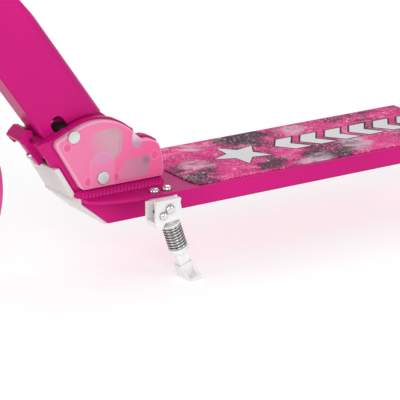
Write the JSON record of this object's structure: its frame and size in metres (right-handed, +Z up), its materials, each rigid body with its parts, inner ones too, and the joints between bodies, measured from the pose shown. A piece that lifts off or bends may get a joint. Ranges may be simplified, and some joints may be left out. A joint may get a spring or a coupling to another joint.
{
  "type": "kick scooter",
  "caption": "Folding two-wheeled kick scooter with big wheels, a pierced-neck fold lock under frosted covers, a printed grip deck, a sprung side stand and a fender brake",
  "frame": {"origin": "on the ground, midway between the wheels' outer ends, in the middle plane of the scooter", "axes": "+X forward, +Y to the rider's left, +Z up"},
  "size_m": [0.92, 0.4, 0.8725],
  "materials": {
    "painted_pink": "gloss powder coat",
    "deck_pink": "powder-coated aluminium",
    "pale_trim": "satin",
    "printed_grip": "printed fine grit",
    "frosted_pink": "frosted translucent",
    "bolt_steel": "zinc plated",
    "dome_chrome": "polished",
    "white_coat": "gloss powder coat",
    "white_nylon": "satin",
    "black_coat": "satin",
    "black_nylon": "satin",
    "grip_rubber": "matte",
    "wheel_pink": "cast urethane",
    "core_white": "moulded"
  },
  "bodies": {
    "deck_frame": {"deck": "deck_pink", "deck_nose": "pale_trim", "grip_sheet": "printed_grip", "hinge_plate_left": "painted_pink", "hinge_plate_right": "painted_pink", "hinge_bridge": "pale_trim", "weld_bead_left": "painted_pink", "weld_bead_right": "painted_pink", "hinge_cover_left": "frosted_pink", "hinge_cover_right": "frosted_pink", "cover_screws": "frosted_pink", "notch_caps": "bolt_steel", "pivot_bolt": "bolt_steel", "pivot_nut": "bolt_steel", "dropout_left": "painted_pink", "dropout_right": "painted_pink", "rear_axle_bolt": "bolt_steel", "rear_axle_nut": "bolt_steel", "rear_spacers": "bolt_steel", "fender_pin": "bolt_steel", "fender_spring": "bolt_steel", "stand_bracket": "white_coat", "deck_bolts": "dome_chrome", "stand_pivot": "dome_chrome", "stand_stop": "dome_chrome"},
    "neck_frame": {"neck": "deck_pink", "head_tube": "painted_pink", "headset_cups": "bolt_steel", "pivot_washers": "white_nylon"},
    "lock": {"lock_pin": "black_coat", "lock_slider": "painted_pink", "lock_screw": "bolt_steel", "lock_spring": "bolt_steel"},
    "steering": {"fork": "painted_pink", "column": "white_coat", "column_clamp": "black_coat", "clamp_screws": "bolt_steel", "height_collar": "black_coat", "collar_bolt": "bolt_steel", "collar_nut": "bolt_steel", "front_axle_bolt": "bolt_steel", "front_axle_nut": "bolt_steel", "front_spacers": "bolt_steel"},
    "lever": {"collar_lever": "black_nylon"},
    "bar": {"handlebar": "white_coat", "grip_left": "grip_rubber", "grip_right": "grip_rubber"},
    "front_wheel": {"front_bearings": "bolt_steel", "front_core": "core_white", "front_tyre": "wheel_pink"},
    "rear_wheel": {"rear_bearings": "bolt_steel", "rear_core": "core_white", "rear_tyre": "wheel_pink"},
    "brake": {"brake_fender": "black_nylon"},
    "stand": {"stand_leg": "white_coat", "stand_spring": "bolt_steel", "stand_collar": "white_nylon", "stand_foot": "white_nylon"}
  },
  "joints": [
    {"name": "fold", "type": "hinge", "parent": "deck_frame", "child": "neck_frame", "pos_m": [0.17, 0, 0.1], "axis": [0, -1, 0], "range_deg": [0, 85]},
    {"name": "lock_slide", "type": "slide", "parent": "neck_frame", "child": "lock", "axis": [0.5664, 0, 0.8241], "range_m": [0, 0.011]},
    {"name": "steer", "type": "hinge", "parent": "neck_frame", "child": "steering", "pos_m": [0.36, 0, 0.1], "axis": [-0.1392, 0, 0.9903], "range_deg": [-50, 50]},
    {"name": "height", "type": "slide", "parent": "steering", "child": "bar", "axis": [-0.1392, 0, 0.9903], "range_m": [0, 0.12]},
    {"name": "collar_release", "type": "hinge", "parent": "steering", "child": "lever", "pos_m": [0.25277, 0.0177, 0.66898], "axis": [-0.1392, 0, 0.9903], "range_deg": [0, 55]},
    {"name": "front_spin", "type": "hinge", "parent": "steering", "child": "front_wheel", "pos_m": [0.36, 0, 0.1], "axis": [0, 1, 0], "continuous": true},
    {"name": "rear_spin", "type": "hinge", "parent": "deck_frame", "child": "rear_wheel", "pos_m": [-0.36, 0, 0.1], "axis": [0, 1, 0], "continuous": true},
    {"name": "brake_press", "type": "hinge", "parent": "deck_frame", "child": "brake", "pos_m": [-0.25006, 0, 0.14002], "axis": [0, -1, 0], "range_deg": [0, 3], "stiffness_Nm_per_rad": 4, "springref_deg": -5.73},
    {"name": "stand_swing", "type": "hinge", "parent": "deck_frame", "child": "stand", "pos_m": [0.1262, 0.0732, 0.0744], "axis": [0, 1, 0], "range_deg": [0, 72]}
  ],
  "couplings": [
    {"joint": "lock_slide", "follows": "fold", "m_per_rad": 0.007414}
  ]
}
